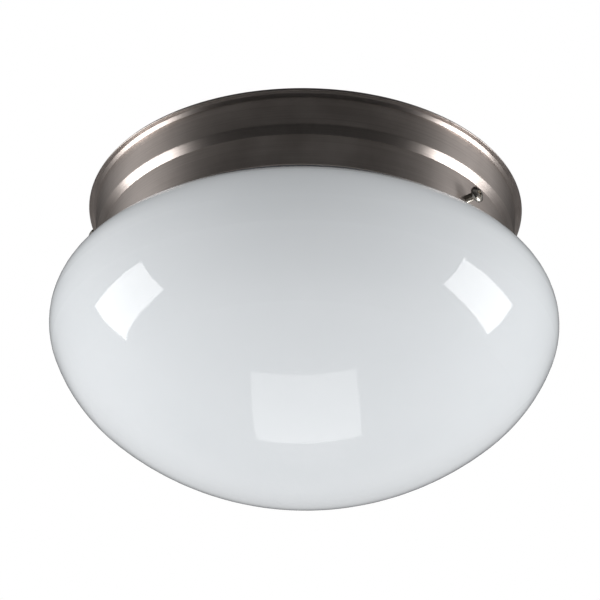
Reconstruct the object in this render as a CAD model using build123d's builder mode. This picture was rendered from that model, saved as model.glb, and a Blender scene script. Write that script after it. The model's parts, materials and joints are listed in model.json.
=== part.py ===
from build123d import *
import os
from math import atan2, cos, degrees, radians, sin, sqrt, tan

# Two-lamp flush mount ceiling light with a clamped opal glass shade.
# Millimetres. The origin is the centre of the ceiling plane, and the light hangs towards -Z.

# ---------------------------------------------------------------- driving dimensions

# Canopy: one stamped sheet with a rolled lip, a bevelled rim, an upper band, a bevelled step
# and a collar. Each bevel and bend is measured on the outside.
sheet = 0.8              # canopy sheet thickness
lip_r = 1.3              # rolled lip that meets the ceiling
lip_w = 1.5              # underside of the lip, from its edge to the rim's bevel
lip_h = 1.5              # height of the lip
rim_bevel_w = 1.9        # bevel between the lip and the upper band
rim_bevel_h = 1.6
band_h = 14.5            # upper band
band_flare = 1.5         # how much wider the upper band is at the rim than at the step
step_bend_r = 1.6        # bend between the upper band and the step's bevel
step_w = 2.75            # bevel of the step
step_h = 3.7
crease_r = 0.35          # bend of the inside corners
collar_h = 17.1          # height of the collar below the step
edge_r = 0.3             # rounding of the collar's lower edge

# Shade: blown glass with a straight fitter neck
glass = 3.0              # wall thickness
neck_r = 98.0            # outer radius of the fitter neck
neck_gap = 5.9           # from the neck to the inside of the collar
neck_above_screw = 9.3   # neck above the screws' axis
neck_below_screw = 2.3   # straight neck below the screws' axis
neck_foot_r = 3.0        # radius of the hollow corner between neck and shoulder
bowl_r = 127.0           # largest radius of the bowl
shoulder_side_r = 26.5   # outline arcs above the widest ring, with the slope that each ends at
shoulder_side_end = 42.6
shoulder_end = 72.8
low_side_r = 32.7        # outline arcs below the widest ring, with the slope that each ends at
low_side_end = 22.4
low_bowl_r = 78.8
low_bowl_end = 48.3

# Shade screws: pan head, cross recess
screw_count = 3
screw_angle = 47.4       # first screw, turned from -Y towards +X
screw_above_edge = 4.6   # axis above the collar's lower edge
screw_r = 2.0
screw_len = 12.0
screw_tip_chamfer = 0.5
screw_head_r = 4.0
screw_head_h = 2.6
screw_head_side = 1.2    # straight side of the head below its crown
recess_span = 4.6
recess_w = 1.0
recess_depth = 1.5
screw_hole_gap = 0.2     # plain hole in the collar, per side
nut_flats = 7.0
nut_h = 2.4
thread_gap = 0.05        # screw in its nut, per side

# Back plate: enamelled steel dish that rests on the step
plate = 0.8
plate_seat_h = 1.4       # from the foot of the step's bevel up to the plate
plate_corner_r = 1.7
plate_fit = 0.02         # between the dish's corner and the canopy
plate_wall_h = 6.0
bead_at_r = 88.0         # stiffening bead
bead_w = 6.0
bead_d = 1.2
slot_near = 69.85        # closest and widest spacing of the outlet box screws
slot_far = 88.9
slot_w = 4.8

# Bushing in the plate's centre hole
entry_r = 8.0            # free bore for the supply leads
bushing_wall = 2.9
bushing_fit = 0.1
bushing_flange_w = 2.6
bushing_flange_h = 1.4
bushing_snap_w = 1.1
bushing_snap_h = 2.2

# Glass wool ring above the plate
wool_rivet_gap = 2.5     # from the brackets' rivets to the ring
wool_wall_gap = 2.0      # from the ring to the dish's wall
wool_below_ceiling = 2.0
wool_edge_r = 2.5

# Earthing screw, from above through the plate
earth_at_y = 26.0
earth_r = 2.0
earth_len = 6.0
earth_head_flats = 7.0
earth_head_h = 2.4

# Lamps: frosted bulb on an Edison cap, lying side by side and facing opposite ways
globe_r = 30.0
globe_gap = 3.0          # from each globe to the middle plane between the lamps
globe_headroom = 4.1     # from a globe to the back plate
bulb_glass = 0.8
bulb_neck_r = 12.7
bulb_neck_len = 7.0
bulb_flare_r = 50.0
cap_r = 13.15
cap_sheet = 0.35
cap_len = 16.0
cap_edge_r = 1.0
cap_hole_r = 9.4
insulator_r = 11.0
insulator_len = 4.5
insulator_plug = 1.0
tip_r = 4.5
tip_h = 1.5
insulator_tip_r = 5.0

# Lampholders: porcelain body, brass screw shell and brass centre contact
holder_base_r = 15.0
holder_base_len = 5.0
holder_neck_len = 3.0
holder_len = 36.0
holder_wall = 3.2
holder_lip_w = 1.5
holder_lip_len = 5.0
holder_floor = 7.0
holder_round = 0.8
shell_sheet = 0.5
shell_gap = 0.08         # lamp cap in the shell, per side
shell_fit = 0.1          # shell in the body, per side
shell_len = 23.0
shell_hole_r = 8.5
contact_r = 5.5
contact_sheet = 0.6
contact_button_r = 3.2
contact_button_h = 1.4

# Brackets, their rivets and the lampholders' screws
bracket = 1.2
bracket_w = 24.0
bracket_bend_r = 1.0
bracket_foot_len = 18.0
bracket_foot_round = 4.0
rivet_pitch = 12.0
rivet_from_end = 8.0
rivet_r = 1.6
rivet_head_r = 3.0
rivet_head_h = 1.3
rivet_tail_r = 2.4
rivet_tail_h = 1.0
hole_fit = 0.05          # rivets and screws in their holes, per side
holder_screw_pitch = 18.0
holder_screw_r = 1.5
holder_screw_len = 6.0
holder_screw_head_r = 2.8
holder_screw_head_h = 1.8

# ---------------------------------------------------------------- sizes that follow

collar_r = neck_r + neck_gap + sheet
# heights, from the ceiling down
lip_z = -lip_h
band_top_z = lip_z - rim_bevel_h
band_foot_z = band_top_z - band_h
step_foot_z = band_foot_z - step_h
collar_edge_z = step_foot_z - collar_h
# radii, from the collar out
band_foot_r = collar_r + step_w
band_top_r = band_foot_r + band_flare
lip_in_r = band_top_r + rim_bevel_w
rim_r = lip_in_r + lip_w
band_slope = -degrees(atan2(band_flare, band_h))
step_slope = -degrees(atan2(step_w, step_h))

# The canopy's outside from the collar's lower edge up: radius, height and bend of each corner
canopy_corners = [
    (collar_r, collar_edge_z + edge_r, 0),
    (collar_r, step_foot_z, crease_r),
    (band_foot_r, band_foot_z, step_bend_r),
    (band_top_r, band_top_z, crease_r),
    (lip_in_r, lip_z, crease_r),
    (rim_r, lip_z, lip_r),
    (rim_r, 0, 0),
]

screw_z = collar_edge_z + screw_above_edge
screw_head_at = neck_r + screw_len
screw_angles = [screw_angle + n * 360 / screw_count for n in range(screw_count)]

# The dish's rounded corner rests on the inside of the step's bevel.
plate_face_z = step_foot_z + plate_seat_h
plate_top_z = plate_face_z + plate
plate_off_bevel = sheet + plate_fit + plate_corner_r
plate_center_z = plate_face_z + plate_corner_r
plate_center_r = collar_r - (
    plate_off_bevel + (plate_center_z - step_foot_z) * sin(radians(step_slope))
) / cos(radians(step_slope))
plate_center = (plate_center_r, plate_center_z)

lamp_drop = globe_r + globe_headroom
lamp_z = plate_face_z - lamp_drop
lamp_y = globe_r + globe_gap
tip_at = holder_floor + contact_sheet + contact_button_h
cap_at = tip_at + tip_h + insulator_len
cap_end = cap_at + cap_len
flare_at = cap_end + bulb_neck_len / 2
globe_at = flare_at + sqrt((bulb_flare_r + globe_r) ** 2 - (bulb_flare_r + bulb_neck_r) ** 2)
lamp_back = (globe_at + globe_r) / 2
shell_in_r = cap_r + shell_gap
holder_bore_r = shell_in_r + shell_sheet + shell_fit
holder_r = holder_bore_r + holder_wall

rivet_along = bracket_foot_len - rivet_from_end
rivet_reach = sqrt((lamp_back - rivet_along) ** 2 + (lamp_y + rivet_pitch / 2) ** 2)
wool_in_r = rivet_reach + rivet_tail_r + wool_rivet_gap


def on_circle(center, radius, angle):
    """The point of a circle at an angle in degrees."""
    return (center[0] + radius * cos(radians(angle)), center[1] + radius * sin(radians(angle)))


def arc(center, radius, start, end):
    """An arc drawn anticlockwise between two angles."""
    return CenterArc(center, radius, start, end - start)


def dome_r(radius, height):
    """The radius of the ball whose cap has this base radius and height."""
    return (radius ** 2 + height ** 2) / (2 * height)


def sheet_side(corners, inset):
    """One face of a bent sheet, inset to the left of the line through its corners."""
    ways = [
        degrees(atan2(after[1] - before[1], after[0] - before[0]))
        for before, after in zip(corners, corners[1:])
    ]
    here = on_circle(corners[0], inset, ways[0] + 90)
    for corner, way, next_way in zip(corners[1:], ways, ways[1:]):
        turn = next_way - way
        inwards = way + (90 if turn > 0 else -90)
        bend_r = corner[2] - (inset if turn > 0 else -inset)
        start = on_circle(corner, -corner[2] * tan(radians(abs(turn) / 2)), way)
        center = on_circle(start, corner[2], inwards)
        Line(here, on_circle(center, -bend_r, inwards))
        CenterArc(center, bend_r, inwards + 180, turn)
        here = on_circle(center, -bend_r, inwards + turn)
    Line(here, on_circle(corners[-1], inset, ways[-1] + 90))


def axial(place):
    """The axis along a plane's X direction, through its origin."""
    return Axis(place.origin, place.x_dir)


def radial_plane(angle):
    """A plane at the screws' height whose X points outwards and whose Y is up."""
    out = Vector(sin(radians(angle)), -cos(radians(angle)), 0)
    return Plane(origin=(0, 0, screw_z), x_dir=out, z_dir=out.cross(Vector(0, 0, 1)))


def facing_plane(angle, radius):
    """A plane that faces outwards at a distance from the canopy's axis."""
    out = Vector(sin(radians(angle)), -cos(radians(angle)), 0)
    return Plane(origin=out * radius + Vector(0, 0, screw_z), x_dir=out.cross(Vector(0, 0, -1)), z_dir=out)


def lamp_plane(side):
    """The upright plane through a lamp's axis: X from the lampholder's back to the bulb, Y up."""
    return Plane(
        origin=(-side * lamp_back, side * lamp_y, lamp_z), x_dir=(side, 0, 0), z_dir=(0, -side, 0)
    )


def across_lamp(place, along):
    """A plane square to a lamp's axis that faces back along it, with Y up."""
    return Plane(origin=place.from_local_coords((along, 0, 0)), x_dir=place.z_dir, z_dir=-place.x_dir)


def save(part, name):
    """Labels a finished piece and writes its file."""
    part.label = name
    export_step(part, f"parts/{name}.step")


os.makedirs("parts", exist_ok=True)

# ---------------------------------------------------------------- canopy

with BuildPart() as canopy:
    with BuildSketch(Plane.XZ):
        with BuildLine():
            sheet_side(canopy_corners, 0)
            sheet_side(canopy_corners, sheet)
            Line((rim_r, 0), (rim_r - sheet, 0))
            # rounded lower edge
            arc((collar_r - sheet + edge_r, collar_edge_z + edge_r), edge_r, 180, 270)
            Line((collar_r - sheet + edge_r, collar_edge_z), (collar_r - edge_r, collar_edge_z))
            arc((collar_r - edge_r, collar_edge_z + edge_r), edge_r, 270, 360)
        make_face()
    revolve(axis=Axis.Z)
    for angle in screw_angles:
        with BuildSketch(facing_plane(angle, collar_r + sheet)):
            Circle(screw_r + screw_hole_gap)
        extrude(amount=-3 * sheet, mode=Mode.SUBTRACT)
save(canopy.part, "canopy")

with BuildPart() as weld_nuts:
    # square to the screws, with the corners against the inside of the collar
    nut_seat = sqrt((collar_r - sheet) ** 2 - (nut_flats / sqrt(3)) ** 2)
    for angle in screw_angles:
        with BuildSketch(facing_plane(angle, nut_seat)):
            RegularPolygon(nut_flats / 2, 6, major_radius=False)
            Circle(screw_r + thread_gap, mode=Mode.SUBTRACT)
        extrude(amount=-nut_h)
save(weld_nuts.part, "weld_nuts")

# ---------------------------------------------------------------- shade screws

for number, angle in enumerate(screw_angles, start=1):
    place = radial_plane(angle)
    with BuildPart() as thumb_screw:
        with BuildSketch(place):
            with BuildLine():
                Polyline(
                    (neck_r, 0),
                    (neck_r, screw_r - screw_tip_chamfer),
                    (neck_r + screw_tip_chamfer, screw_r),
                    (screw_head_at, screw_r),
                    (screw_head_at, screw_head_r),
                    (screw_head_at + screw_head_side, screw_head_r),
                )
                # crown, level at the screw's axis
                RadiusArc(
                    (screw_head_at + screw_head_side, screw_head_r),
                    (screw_head_at + screw_head_h, 0),
                    dome_r(screw_head_r, screw_head_h - screw_head_side),
                )
                Line((screw_head_at + screw_head_h, 0), (neck_r, 0))
            make_face()
        revolve(axis=axial(place))
        with BuildSketch(facing_plane(angle, screw_head_at + screw_head_h)):
            Rectangle(recess_span, recess_w)
            Rectangle(recess_w, recess_span)
        extrude(amount=-recess_depth, mode=Mode.SUBTRACT)
    save(thumb_screw.part, f"thumb_screw_{number}")

# ---------------------------------------------------------------- shade

# Centres of the outline's arcs, each tangent to the next, from the widest ring both ways.
# The shoulder's radius is the one that ends at the neck's foot, the crown's is centred on the axis.
side_center = (bowl_r - shoulder_side_r, 0)
side_end = on_circle(side_center, shoulder_side_r, shoulder_side_end)
foot_reach = neck_foot_r * (1 - cos(radians(shoulder_end)))
shoulder_r = (side_end[0] - neck_r - foot_reach) / (
    cos(radians(shoulder_side_end)) - cos(radians(shoulder_end))
)
shoulder_center = on_circle(side_end, -shoulder_r, shoulder_side_end)
foot_center = on_circle(shoulder_center, shoulder_r + neck_foot_r, shoulder_end)
low_side_center = (bowl_r - low_side_r, 0)
low_bowl_center = on_circle(low_side_center, low_side_r - low_bowl_r, -low_side_end)
low_bowl_edge = on_circle(low_bowl_center, low_bowl_r, -low_bowl_end)
crown_radius = low_bowl_edge[0] / cos(radians(low_bowl_end))
crown_center = (0, low_bowl_edge[1] + crown_radius * sin(radians(low_bowl_end)))

# The straight neck starts below the screws, and the widest ring hangs from there.
widest_z = screw_z - neck_below_screw - foot_center[1]
neck_top_z = screw_z + neck_above_screw
shade_bottom_z = widest_z + crown_center[1] - crown_radius


def lowered(point):
    """A point of the outline, taken from the widest ring's height to its place."""
    return (point[0], point[1] + widest_z)


def shade_side(inset):
    """One face of the glass, from the axis up to the neck's rim, inset from the outside."""
    arc(lowered(crown_center), crown_radius - inset, -90, -low_bowl_end)
    arc(lowered(low_bowl_center), low_bowl_r - inset, -low_bowl_end, -low_side_end)
    arc(lowered(low_side_center), low_side_r - inset, -low_side_end, 0)
    arc(lowered(side_center), shoulder_side_r - inset, 0, shoulder_side_end)
    arc(lowered(shoulder_center), shoulder_r - inset, shoulder_side_end, shoulder_end)
    arc(lowered(foot_center), neck_foot_r + inset, 180, 180 + shoulder_end)
    Line((neck_r - inset, lowered(foot_center)[1]), (neck_r - inset, neck_top_z - glass / 2))


with BuildPart() as opal_shade:
    with BuildSketch(Plane.XZ):
        with BuildLine():
            shade_side(0)
            arc((neck_r - glass / 2, neck_top_z - glass / 2), glass / 2, 0, 180)
            shade_side(glass)
            Line((0, shade_bottom_z), (0, shade_bottom_z + glass))
        make_face()
    revolve(axis=Axis.Z)
save(opal_shade.part, "opal_shade")

# ---------------------------------------------------------------- back plate and what it carries

with BuildPart() as back_plate:
    with BuildSketch(Plane.XZ):
        with BuildLine():
            wall_foot = on_circle(plate_center, plate_corner_r, band_slope)
            wall_top = on_circle(wall_foot, plate_wall_h, band_slope + 90)
            # underside, with the stiffening bead
            Line((0, plate_face_z), (bead_at_r - bead_w / 2, plate_face_z))
            ThreePointArc(
                (bead_at_r - bead_w / 2, plate_face_z),
                (bead_at_r, plate_face_z - bead_d),
                (bead_at_r + bead_w / 2, plate_face_z),
            )
            Line((bead_at_r + bead_w / 2, plate_face_z), (plate_center_r, plate_face_z))
            # up the wall, over its edge and back
            arc(plate_center, plate_corner_r, -90, band_slope)
            Line(wall_foot, wall_top)
            Line(wall_top, on_circle(wall_top, -plate, band_slope))
            Line(on_circle(wall_top, -plate, band_slope), on_circle(wall_foot, -plate, band_slope))
            arc(plate_center, plate_corner_r - plate, -90, band_slope)
            Line((plate_center_r, plate_top_z), (bead_at_r + bead_w / 2, plate_top_z))
            ThreePointArc(
                (bead_at_r + bead_w / 2, plate_top_z),
                (bead_at_r, plate_top_z - bead_d),
                (bead_at_r - bead_w / 2, plate_top_z),
            )
            Line((bead_at_r - bead_w / 2, plate_top_z), (0, plate_top_z))
            Line((0, plate_top_z), (0, plate_face_z))
        make_face()
    revolve(axis=Axis.Z)
    with BuildSketch(Plane.XY.offset(plate_face_z)):
        # slots for the outlet box screws, from the closest spacing to the widest
        with Locations(((slot_near + slot_far) / 4, 0), (-(slot_near + slot_far) / 4, 0)):
            SlotCenterToCenter((slot_far - slot_near) / 2, slot_w)
        Circle(entry_r + bushing_wall + bushing_fit)
        with Locations((0, earth_at_y)):
            Circle(earth_r + hole_fit)
        for side in (1, -1):
            place = lamp_plane(side)
            for across in (rivet_pitch / 2, -rivet_pitch / 2):
                spot = place.from_local_coords((rivet_along, 0, across))
                with Locations((spot.X, spot.Y)):
                    Circle(rivet_r + hole_fit)
    extrude(amount=plate, mode=Mode.SUBTRACT)
save(back_plate.part, "back_plate")

with BuildPart() as wire_bushing:
    with BuildSketch(Plane.XZ):
        with BuildLine():
            barrel_r = entry_r + bushing_wall
            snap_r = barrel_r + bushing_snap_w
            lip_z = plate_face_z - bushing_flange_h
            top_z = plate_top_z + bushing_snap_h
            Polyline(
                (entry_r, lip_z),
                (barrel_r + bushing_flange_w - bushing_flange_h, lip_z),
                (barrel_r + bushing_flange_w, plate_face_z),
                (barrel_r, plate_face_z),
                (barrel_r, plate_top_z),
                (snap_r, plate_top_z),
                (barrel_r, top_z),
                (entry_r, top_z),
                close=True,
            )
        make_face()
    revolve(axis=Axis.Z)
save(wire_bushing.part, "wire_bushing")

with BuildPart() as insulation_ring:
    with BuildSketch(Plane.XY.offset(plate_top_z)):
        Circle(plate_center[0] - wool_wall_gap)
        Circle(wool_in_r, mode=Mode.SUBTRACT)
    extrude(amount=-wool_below_ceiling - plate_top_z)
    fillet(insulation_ring.edges().group_by(Axis.Z)[-1], radius=wool_edge_r)
save(insulation_ring.part, "insulation_ring")

with BuildPart() as ground_screw:
    with BuildSketch(Plane.XY.offset(plate_top_z)):
        with Locations((0, earth_at_y)):
            RegularPolygon(earth_head_flats / 2, 6, major_radius=False)
    extrude(amount=earth_head_h)
    with BuildSketch(Plane.XY.offset(plate_top_z)):
        with Locations((0, earth_at_y)):
            Circle(earth_r)
    extrude(amount=-earth_len)
save(ground_screw.part, "ground_screw")

# ---------------------------------------------------------------- brackets and their fasteners

for number, side in enumerate((1, -1), start=1):
    place = lamp_plane(side)
    with BuildPart() as socket_bracket:
        with BuildSketch(place):
            with BuildLine():
                outer = FilletPolyline(
                    (-bracket, 0), (-bracket, lamp_drop), (bracket_foot_len, lamp_drop),
                    radius=bracket_bend_r + bracket,
                )
                inner = FilletPolyline(
                    (0, 0), (0, lamp_drop - bracket), (bracket_foot_len, lamp_drop - bracket),
                    radius=bracket_bend_r,
                )
                Line(outer @ 0, inner @ 0)
                Line(outer @ 1, inner @ 1)
            make_face()
        extrude(amount=bracket_w / 2, both=True)
        # rounded lower end, centred on the lamp's axis
        with BuildSketch(across_lamp(place, 0)):
            Circle(bracket_w / 2)
        extrude(amount=bracket)
        foot_end = socket_bracket.edges().filter_by(Axis.Z).sort_by(axial(place))[-2:]
        fillet(foot_end, radius=bracket_foot_round)
        with BuildSketch(across_lamp(place, 0)):
            with GridLocations(holder_screw_pitch, 0, 2, 1):
                Circle(holder_screw_r + hole_fit)
        extrude(amount=bracket, mode=Mode.SUBTRACT)
        with BuildSketch(Plane.XY.offset(plate_face_z)):
            for across in (rivet_pitch / 2, -rivet_pitch / 2):
                spot = place.from_local_coords((rivet_along, 0, across))
                with Locations((spot.X, spot.Y)):
                    Circle(rivet_r + hole_fit)
        extrude(amount=-bracket, mode=Mode.SUBTRACT)
    save(socket_bracket.part, f"socket_bracket_{number}")

with BuildPart() as bracket_rivets:
    for side in (1, -1):
        for across in (rivet_pitch / 2, -rivet_pitch / 2):
            spot = lamp_plane(side).from_local_coords((rivet_along, lamp_drop, across))
            with BuildSketch(Plane(origin=spot, x_dir=(1, 0, 0), z_dir=(0, -1, 0))):
                with BuildLine():
                    # factory head under the foot, shank, flat tail above the plate
                    head_crown = dome_r(rivet_head_r, rivet_head_h)
                    RadiusArc((0, -bracket - rivet_head_h), (rivet_head_r, -bracket), -head_crown)
                    Polyline(
                        (rivet_head_r, -bracket),
                        (rivet_r, -bracket),
                        (rivet_r, plate),
                        (rivet_tail_r, plate),
                        (rivet_tail_r, plate + rivet_tail_h),
                        (0, plate + rivet_tail_h),
                        (0, -bracket - rivet_head_h),
                    )
                make_face()
            revolve(axis=Axis(spot, (0, 0, 1)))
save(bracket_rivets.part, "bracket_rivets")

with BuildPart() as lampholder_screws:
    for side in (1, -1):
        place = lamp_plane(side)
        with BuildSketch(across_lamp(place, -bracket)):
            with GridLocations(holder_screw_pitch, 0, 2, 1):
                Circle(holder_screw_head_r)
        extrude(amount=holder_screw_head_h)
        with BuildSketch(across_lamp(place, -bracket)):
            with GridLocations(holder_screw_pitch, 0, 2, 1):
                Circle(holder_screw_r)
        extrude(amount=-holder_screw_len)
save(lampholder_screws.part, "lampholder_screws")

# ---------------------------------------------------------------- lampholders and lamps

for number, side in enumerate((1, -1), start=1):
    place = lamp_plane(side)

    with BuildPart() as lampholder:
        with BuildSketch(place):
            with BuildLine():
                lip_at = holder_len - holder_lip_len
                outside = FilletPolyline(
                    (0, 0),
                    (0, holder_base_r),
                    (holder_base_len, holder_base_r),
                    (holder_base_len + holder_neck_len, holder_r),
                    (lip_at, holder_r),
                    (lip_at + holder_lip_w, holder_r + holder_lip_w),
                    (holder_len, holder_r + holder_lip_w),
                    (holder_len, holder_bore_r),
                    radius=holder_round,
                )
                Polyline(
                    outside @ 1,
                    (holder_floor, holder_bore_r),
                    (holder_floor, 0),
                    (0, 0),
                )
            make_face()
        revolve(axis=axial(place))
        with BuildSketch(across_lamp(place, 0)):
            with GridLocations(holder_screw_pitch, 0, 2, 1):
                Circle(holder_screw_r + hole_fit)
        extrude(amount=-(holder_screw_len - bracket + hole_fit), mode=Mode.SUBTRACT)
    save(lampholder.part, f"lampholder_{number}")

    with BuildPart() as screw_shell:
        with BuildSketch(place):
            with BuildLine():
                shell_out_r = shell_in_r + shell_sheet
                Polyline(
                    (holder_floor, shell_hole_r),
                    (holder_floor, shell_out_r),
                    (holder_floor + shell_len, shell_out_r),
                    (holder_floor + shell_len, shell_in_r),
                    (holder_floor + shell_sheet, shell_in_r),
                    (holder_floor + shell_sheet, shell_hole_r),
                    close=True,
                )
            make_face()
        revolve(axis=axial(place))
    save(screw_shell.part, f"screw_shell_{number}")

    with BuildPart() as centre_contact:
        with BuildSketch(place):
            with BuildLine():
                Polyline(
                    (holder_floor, 0),
                    (holder_floor, contact_r),
                    (holder_floor + contact_sheet, contact_r),
                    (holder_floor + contact_sheet, contact_button_r),
                    (tip_at, contact_button_r),
                    (tip_at, 0),
                    close=True,
                )
            make_face()
        revolve(axis=axial(place))
    save(centre_contact.part, f"centre_contact_{number}")

    with BuildPart() as lamp_tip:
        with BuildSketch(place):
            with BuildLine():
                RadiusArc((tip_at, 0), (tip_at + tip_h, tip_r), dome_r(tip_r, tip_h))
                Line((tip_at + tip_h, tip_r), (tip_at + tip_h, 0))
                Line((tip_at + tip_h, 0), (tip_at, 0))
            make_face()
        revolve(axis=axial(place))
    save(lamp_tip.part, f"lamp_tip_{number}")

    with BuildPart() as lamp_insulator:
        with BuildSketch(place):
            with BuildLine():
                Polyline(
                    (tip_at + tip_h, 0),
                    (tip_at + tip_h, insulator_tip_r),
                    (cap_at, insulator_r),
                    (cap_at, cap_hole_r),
                    (cap_at + insulator_plug, cap_hole_r),
                    (cap_at + insulator_plug, 0),
                    close=True,
                )
            make_face()
        revolve(axis=axial(place))
    save(lamp_insulator.part, f"lamp_insulator_{number}")

    with BuildPart() as lamp_cap:
        with BuildSketch(place):
            with BuildLine():
                corner = (cap_at + cap_edge_r, cap_r - cap_edge_r)
                Line((cap_at, cap_hole_r), (cap_at, corner[1]))
                arc(corner, cap_edge_r, 90, 180)
                Line((corner[0], cap_r), (cap_end, cap_r))
                Line((cap_end, cap_r), (cap_end, cap_r - cap_sheet))
                Line((cap_end, cap_r - cap_sheet), (corner[0], cap_r - cap_sheet))
                arc(corner, cap_edge_r - cap_sheet, 90, 180)
                Line((cap_at + cap_sheet, corner[1]), (cap_at + cap_sheet, cap_hole_r))
                Line((cap_at + cap_sheet, cap_hole_r), (cap_at, cap_hole_r))
            make_face()
        revolve(axis=axial(place))
    save(lamp_cap.part, f"lamp_cap_{number}")

    with BuildPart() as lamp_bulb:
        with BuildSketch(place):
            with BuildLine():
                flare_center = (flare_at, bulb_neck_r + bulb_flare_r)
                flare_turn = degrees(atan2(globe_at - flare_at, flare_center[1]))
                neck_at = cap_end - bulb_neck_len / 2
                for inset in (0, bulb_glass):
                    Line((neck_at, bulb_neck_r - inset), (flare_at, bulb_neck_r - inset))
                    arc(flare_center, bulb_flare_r + inset, 270, 270 + flare_turn)
                    arc((globe_at, 0), globe_r - inset, 0, 90 + flare_turn)
                Line((neck_at, bulb_neck_r), (neck_at, bulb_neck_r - bulb_glass))
                Line((globe_at + globe_r, 0), (globe_at + globe_r - bulb_glass, 0))
            make_face()
        revolve(axis=axial(place))
    save(lamp_bulb.part, f"lamp_bulb_{number}")
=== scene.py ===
import json
import logging
from dataclasses import dataclass
from enum import Enum
from math import asin, atan2, cos, degrees, pi, radians, sin, sqrt, tan
from typing import Callable, Sequence

import bmesh
import bpy
import numpy as np
from mathutils import Matrix, Quaternion, Vector, noise

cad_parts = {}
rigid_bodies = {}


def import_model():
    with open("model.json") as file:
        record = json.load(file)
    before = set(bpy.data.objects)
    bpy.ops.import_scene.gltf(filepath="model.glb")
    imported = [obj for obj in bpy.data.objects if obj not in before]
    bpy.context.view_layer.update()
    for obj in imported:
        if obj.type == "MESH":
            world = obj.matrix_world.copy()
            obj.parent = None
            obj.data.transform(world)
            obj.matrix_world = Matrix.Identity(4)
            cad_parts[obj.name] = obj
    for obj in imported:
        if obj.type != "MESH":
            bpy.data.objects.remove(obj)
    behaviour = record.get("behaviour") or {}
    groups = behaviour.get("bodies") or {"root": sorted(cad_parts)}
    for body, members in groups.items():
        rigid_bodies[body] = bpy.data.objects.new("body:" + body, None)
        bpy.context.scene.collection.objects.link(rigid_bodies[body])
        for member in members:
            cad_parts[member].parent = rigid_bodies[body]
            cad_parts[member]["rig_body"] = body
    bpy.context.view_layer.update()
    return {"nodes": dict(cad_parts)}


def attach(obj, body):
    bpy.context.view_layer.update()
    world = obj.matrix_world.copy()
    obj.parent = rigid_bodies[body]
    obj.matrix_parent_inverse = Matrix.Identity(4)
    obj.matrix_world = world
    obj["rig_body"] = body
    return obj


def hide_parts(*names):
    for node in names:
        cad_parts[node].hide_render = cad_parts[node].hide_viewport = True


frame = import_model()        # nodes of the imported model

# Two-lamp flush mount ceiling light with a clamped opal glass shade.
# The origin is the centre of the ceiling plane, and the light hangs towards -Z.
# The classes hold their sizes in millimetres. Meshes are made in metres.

MM = 0.001                                      # metres in a millimetre
log = logging.getLogger("ceiling_light")

Point = tuple[float, float]
Triple = tuple[float, float, float]
Inputs = dict[str, object]                      # values and sockets by the input's name
Lift = Callable[[np.ndarray], np.ndarray]       # works on (along, radius, turn) points
SQUARE = ((-1, -1), (1, -1), (1, 1), (-1, 1))   # its corners, once round

SCREW_ANGLES = (47.4, 167.4, 287.4)             # the shade screws, from -Y towards +X
SCREW_Z = -33.8
LAMP_ASIDE = 33.0                               # from the light's middle to each lamp's axis
LAMP_Z = -54.0
LAMPHOLDER_BACK = 57.05                         # from the light's middle to a lampholder's back
CAP_PITCH = 3.629                               # lamp caps have seven turns to the inch
CAP_FADE = 2.0                                  # length in which a rolled thread rises or ends
CAP_ROWS = 90                                   # rows of points along a rolled thread


# ------------------------------------------------------------------ nodes and colours

def linear(code: str) -> tuple[float, float, float, float]:
    """Turn an sRGB hex colour into linear light.

    Args:
        code: colour such as "#B5ADA3".

    Returns:
        Red, green, blue and alpha for a colour socket.
    """
    parts = [int(code[i:i + 2], 16) / 255 for i in (1, 3, 5)]
    light = [p / 12.92 if p <= 0.04045 else ((p + 0.055) / 1.055) ** 2.4 for p in parts]
    return (light[0], light[1], light[2], 1.0)


def blank_material(name: str) -> bpy.types.Material:
    """Make a material whose node tree is still empty.

    Args:
        name: its name.

    Returns:
        The material.
    """
    made = bpy.data.materials.new(name)
    made.use_nodes = True
    made.node_tree.nodes.clear()
    return made


def put_in_scene(name: str, data: bpy.types.ID) -> bpy.types.Object:
    """Make an object from a mesh, light or camera, and link it to the scene.

    Args:
        name: the object's name.
        data: what it holds.

    Returns:
        The object.
    """
    made = bpy.data.objects.new(name, data)
    bpy.context.scene.collection.objects.link(made)
    return made


def per(size: float) -> float:
    """Give the noise scale at which one feature is this many millimetres wide."""
    return 1 / (size * MM)


def add_node(
    tree: bpy.types.NodeTree,
    kind: str,
    settings: dict[str, object] | None = None,
    links: dict[str | int, object] | None = None,
) -> bpy.types.Node:
    """Add a shader node with its settings and links.

    Args:
        tree: node tree that gets the node.
        kind: Blender's name of the node's type, without "ShaderNode".
        settings: the node's own properties.
        links: for each input, another node's output socket or a plain value.

    Returns:
        The new node.
    """
    node = tree.nodes.new("ShaderNode" + kind)
    for name, value in (settings or {}).items():
        setattr(node, name, value)
    for name, value in (links or {}).items():
        if isinstance(value, bpy.types.NodeSocket):
            tree.links.new(value, node.inputs[name])
        else:
            node.inputs[name].default_value = value
    return node


# ------------------------------------------------------------------ finishes

@dataclass(frozen=True)
class Finish:
    """A real material together with the way its surface was made."""

    name: str
    slot: str

    def sockets(self, tree: bpy.types.NodeTree, place: bpy.types.NodeSocket) -> Inputs:
        """Say what each input of the shader gets at a place on the piece."""
        raise NotImplementedError

    def material(self) -> bpy.types.Material:
        """Make the material once, and give the same one after that.

        Returns:
            The finish's material.
        """
        made = bpy.data.materials.get(self.name)
        if made is None:
            made = blank_material(self.name)
            tree = made.node_tree
            place = add_node(tree, "TexCoord").outputs["Object"]
            shader = add_node(tree, "BsdfPrincipled", links=self.sockets(tree, place))
            add_node(tree, "OutputMaterial", links={"Surface": shader.outputs["BSDF"]})
        return made


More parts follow.
